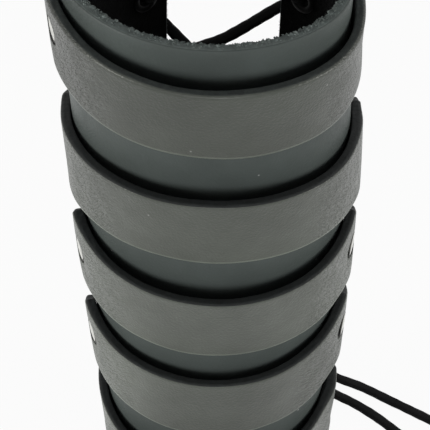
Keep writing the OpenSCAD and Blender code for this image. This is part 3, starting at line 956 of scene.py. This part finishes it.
def band_sheet(i):
    low, rise, flare, lean = LOWS[i], RISES[i], FLARES[i], LEANS[i]
    left, right = (math.radians(a) for a in ENDS[i])
    run = END_RUN / shell_r(low + BAND_HEIGHT / 2)

    def surface(t, v, oc, oz, depth):
        """At an angle and from -1 to 1 up the band, oc and oz past that, and a depth."""
        wave = 0.25 * np.sin(t * 5.3 + i) + 0.15 * np.sin(t * 11 + 2 * i)
        middle = low + BAND_HEIGHT / 2 + rise * (1 - np.cos(t)) + lean * HALF_WIDTH * np.sin(t)
        past = np.clip(np.maximum(left - t, t - right) / run, 0, 1)
        cut = BAND_HEIGHT / 2 - np.where(t < 0, END_HALF[i][0], END_HALF[i][1])
        half = BAND_HEIGHT / 2 - BAND_BEVEL - past * cut + wave * 0.5
        z = middle + v * half + oz - SHORTER[i] * (v + 1) / 2
        share = np.clip((z - middle) / BAND_HEIGHT + 0.5, 0, 1)
        around = np.abs(t)
        gap = BAND_GAP - SNUG[i] * ease(around, 0.6, 1.1) + BACK_GAP[i] * ease(around, 1.5, 1.85)
        stand = gap + WALL + flare * share * np.maximum(0, np.cos(t)) ** 1.7
        # The flesh side hugs the shell more closely, so that no light shows behind it
        off = lift(i, t, share)
        stand = stand + off - np.where(t < 0, off, np.minimum(off, 0.7 * share)) * depth / WALL
        turn = t + oc / shell_r(z)
        dent = np.zeros_like(z)
        for s in (left, right):
            away = np.hypot((turn - s) * shell_r(z), z - RIVET_Z[i])
            before = ease((abs(s) - np.abs(turn)) * shell_r(z), -2, 3)
            seat = SEAT_DEPTH * (1 - ease(away, CAP + 0.2, CAP + GROOVE_WIDTH))
            dish = DISH_DEPTH * (1 - ease(away, CAP + 0.5, 9.5)) * before
            dent -= (seat + dish) * ease(depth, 1.2, 0)
        p = at(turn, z, stand)
        soft = 0.13 * ripple(p[..., 0], p[..., 1], z, 9.0, i + 1.0) * ease(depth, WALL, 0)
        return at(turn, z, stand - depth + dent + soft)

    def wear(t, v, dr, depth):
        return 0.05 * np.sin(t * 47 + 3 * depth) * np.sin(t * 23 + i) + 0.03 * np.sin(t * 131 + i)

    # Columns are close together round the rivets, and further apart along the front
    r = shell_r(low)
    near, fine, wide = 6.6 / r, 0.32 / r, 1.25 / r
    tip = run - BAND_BEVEL / r
    cols = np.unique(np.round(np.concatenate([
        [left - tip, right + tip],
        steps_over(left - near, left + near, fine), steps_over(right - near, right + near, fine),
        steps_over(left + near, right - near, wide), steps_over(left - tip, left - near, fine * 2),
        steps_over(right + near, right + tip, fine * 2),
    ]), 5))
    rows = np.unique(np.round(np.concatenate([
        [-1, -0.98], np.linspace(-0.94, -0.5, 8), np.linspace(-0.5, 0.5, 44),
        np.linspace(0.5, 1, 10),
    ]), 5))
    top = i == 0
    o = leather_sheet(
        f"band_{i + 1}_leather", cols, rows, surface, BAND_BEVEL,
        [band_grain, top_edge if top else band_edge, band_flesh, rubbed_highlight_line], worn=wear,
        burnished=4 if top else 2,
    )
    # Dirt and painted shade: the leather in the groove round each rivet cap is coloured dark
    centres = np.zeros(3 * len(o.data.polygons))
    o.data.polygons.foreach_get("center", centres)
    kinds = np.zeros(len(o.data.polygons), np.int32)
    o.data.polygons.foreach_get("material_index", kinds)
    for s in (left, right):
        middle = in_metres(at(s, RIVET_Z[i], rivet_seat(i, s)))
        away = np.linalg.norm(centres.reshape(-1, 3) - middle, axis=1)
        kinds[(kinds == GRAIN) & (away < (CAP + GROOVE_WIDTH) * 0.001)] = GROOVE_DIRT_AND_SHADE
    o.data.materials.append(groove_dirt_and_shade)
    o.data.polygons.foreach_set("material_index", kinds)
    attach(o, f"band_{i + 1}")
    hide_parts(f"band_{i + 1}")


for i in range(5):
    band_sheet(i)


# ---------------------------------------------------------------- rivets and eyelets
# How deep the outer caps sit in their bands, left and right, and how far they are turned
CAP_SINK_LEFT, CAP_SINK_RIGHT, CAP_TURN = 0.95, 0.8, 0.02
# The inner caps clear the curve that they lie against
BACK_CAP, BACK_CAP_OFF = 4.2, 0.45
# How far the outer and the inner caps rise over their brim, and the brim's height
CAP_RISE, BACK_CAP_RISE, BRIM = 0.4, 1.1, 0.5
DOME_RINGS = 9


def dome(radius, rise):
    """A dome's profile from its middle to its rim."""
    ball = (radius**2 + rise**2) / (2 * rise)
    out = [radius * k / DOME_RINGS for k in range(DOME_RINGS + 1)]
    return [(r, math.sqrt(ball**2 - r**2) - ball + rise) for r in out]


def cap_profile(radius, rise):
    """A rivet cap's profile: its dome, its rolled brim and its flat foot."""
    top = [(r, h + BRIM) for r, h in dome(radius - 0.28, rise)]
    roll = [
        (radius - 0.08, BRIM - 0.05), (radius, BRIM * 0.55), (radius - 0.1, 0.08),
        (radius - 0.3, 0),
    ]
    return top + roll + [(0, 0)]


for i in range(5):
    outer, inner = [], []
    for s in (math.radians(a) for a in ENDS[i]):
        z = RIVET_Z[i]
        sink = CAP_SINK_RIGHT if s > 0 else CAP_SINK_LEFT
        facing = outward(s - math.copysign(CAP_TURN, s), z)
        outer.append(frame_at(at(s, z, rivet_seat(i, s) - sink), facing))
        inner.append(frame_at(at(s, z, -WALL - BACK_CAP_OFF), -outward(s, z)))
    for name, frames, radius, rise, cad, metal in (
        (f"rivet_pair_{i + 1}", outer, CAP, CAP_RISE, f"rivet_caps_{i + 1}", nickel),
        (f"rivet_back_pair_{i + 1}", inner, BACK_CAP, BACK_CAP_RISE, f"rivet_backs_{i + 1}",
         dull_nickel),
    ):
        profile = cap_profile(radius, rise)
        points, faces = turned_piece(profile, frames)
        # The outer rings of each cap take the dark rim: tarnish with a painted dark reflection
        kinds = ring_kinds(profile, frames, DOME_RINGS - 1)
        o = welded(new_object(name, in_metres(points), faces, [metal, tarnish_and_dark_reflection], kinds))
        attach(o, "shell")
        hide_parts(cad)


def eyelet_profile(depth):
    """A closed ring: the flat flange inside, the barrel and the rolled lip outside."""
    wall = BORE + METAL
    inside = [
        (BORE, -depth + 0.2), (BORE + 0.2, -depth), (FLANGE - 0.3, -depth), (FLANGE, -depth + 0.25),
        (FLANGE - 0.3, -depth + 0.5), (wall + 0.3, -depth + 0.5), (wall, -depth + 0.9),
        (wall, SEAT - 0.1), (wall + 0.3, SEAT),
    ]
    roll = [
        (FLANGE - 0.35 + 0.35 * math.cos(a), SEAT + 0.35 + 0.35 * math.sin(a))
        for a in np.linspace(-1.2, 1.9, 7)
    ]
    mouth = [
        (BORE + 0.35 - 0.35 * math.cos(a), SEAT + 0.42 + 0.30 * math.sin(a))
        for a in np.linspace(1.4, 0, 5)
    ]
    return inside + roll + mouth


for side, name in ((-1, "eyelets_left"), (1, "eyelets_right")):
    points, faces = np.zeros((0, 3)), []
    for row in range(len(ROWS)):
        p, n = eyelet(row, side)
        ring, quads = turned_piece(eyelet_profile(flange_depth(row)), [frame_at(p, n)])
        faces += [[v + len(points) for v in q] for q in quads]
        points = np.concatenate([points, ring])
    o = welded(new_object(name + "_metal", in_metres(points), faces, [enamel]))
    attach(o, "shell")
    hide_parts(name)


# ---------------------------------------------------------------- floor, world and lamps
WHITE = (1, 1, 1, 1)
FLOOR_HALF, FLOOR_DROP, FLOOR_GLOW, WORLD_LIGHT = 4, 0.0003, 0.95, 0.16
floor = new_object(
    "floor", [(x * FLOOR_HALF, y * FLOOR_HALF, 0) for x, y in ((-1, -1), (1, -1), (1, 1), (-1, 1))],
    [(0, 1, 2, 3)], [], smooth=False,
)
m, shader, g = material("pale_floor")
tone = g.cloud(g.place(), 3, 2)
pale = g.ramp(tone, [(0.3, (0.78, 0.78, 0.78, 1)), (0.7, (0.82, 0.82, 0.82, 1))])
g.fill(shader, {"Base Color": pale, "Roughness": 0.9})
glow = g.add("ShaderNodeEmission", Color=WHITE, Strength=1.0)
shown = g.maths("MULTIPLY", g.seen(), FLOOR_GLOW)
both = g.blend(shown, shader.outputs["BSDF"], glow.outputs["Emission"])
g.feed(both, m.node_tree.nodes["Material Output"].inputs["Surface"])
floor.data.materials.append(m)
floor.location.z = -FLOOR_DROP

world = bpy.data.worlds.new("studio")
scene.world = world
world.use_nodes = True
g = Graph(world.node_tree)
light = world.node_tree.nodes["Background"]
g.fill(light, {"Color": WHITE, "Strength": WORLD_LIGHT})
white = g.add("ShaderNodeBackground", Color=WHITE, Strength=1.0)
both = g.blend(g.seen(), light.outputs["Background"], white.outputs["Background"])
g.feed(both, world.node_tree.nodes["World Output"].inputs["Surface"])

WARM = (1, 0.98, 0.93)
LAMP_SIZE, AIMED_AT = 0.9, np.array([0, 0, 0.13])


def lamp(name, place, energy, colour=(1, 1, 1)):
    """A soft square lamp, in metres, aimed at the middle of the shell."""
    data = bpy.data.lights.new(name, "AREA")
    data.energy, data.size, data.color = energy, LAMP_SIZE, colour
    o = bpy.data.objects.new(name, data)
    o.visible_camera = False
    scene.collection.objects.link(o)
    back = unit(np.array(place) - AIMED_AT)
    right = unit(np.cross(UP, back))
    turn = np.array([right, np.cross(back, right), back]).T
    o.matrix_world = Matrix.Translation(place) @ Matrix(turn.tolist()).to_4x4()


lamp("front", (0, -2.2, 0.5), 17)
lamp("right", (2.1, -0.55, 0.3), 30, WARM)
lamp("left", (-2.05, -0.75, 0.35), 36, WARM)
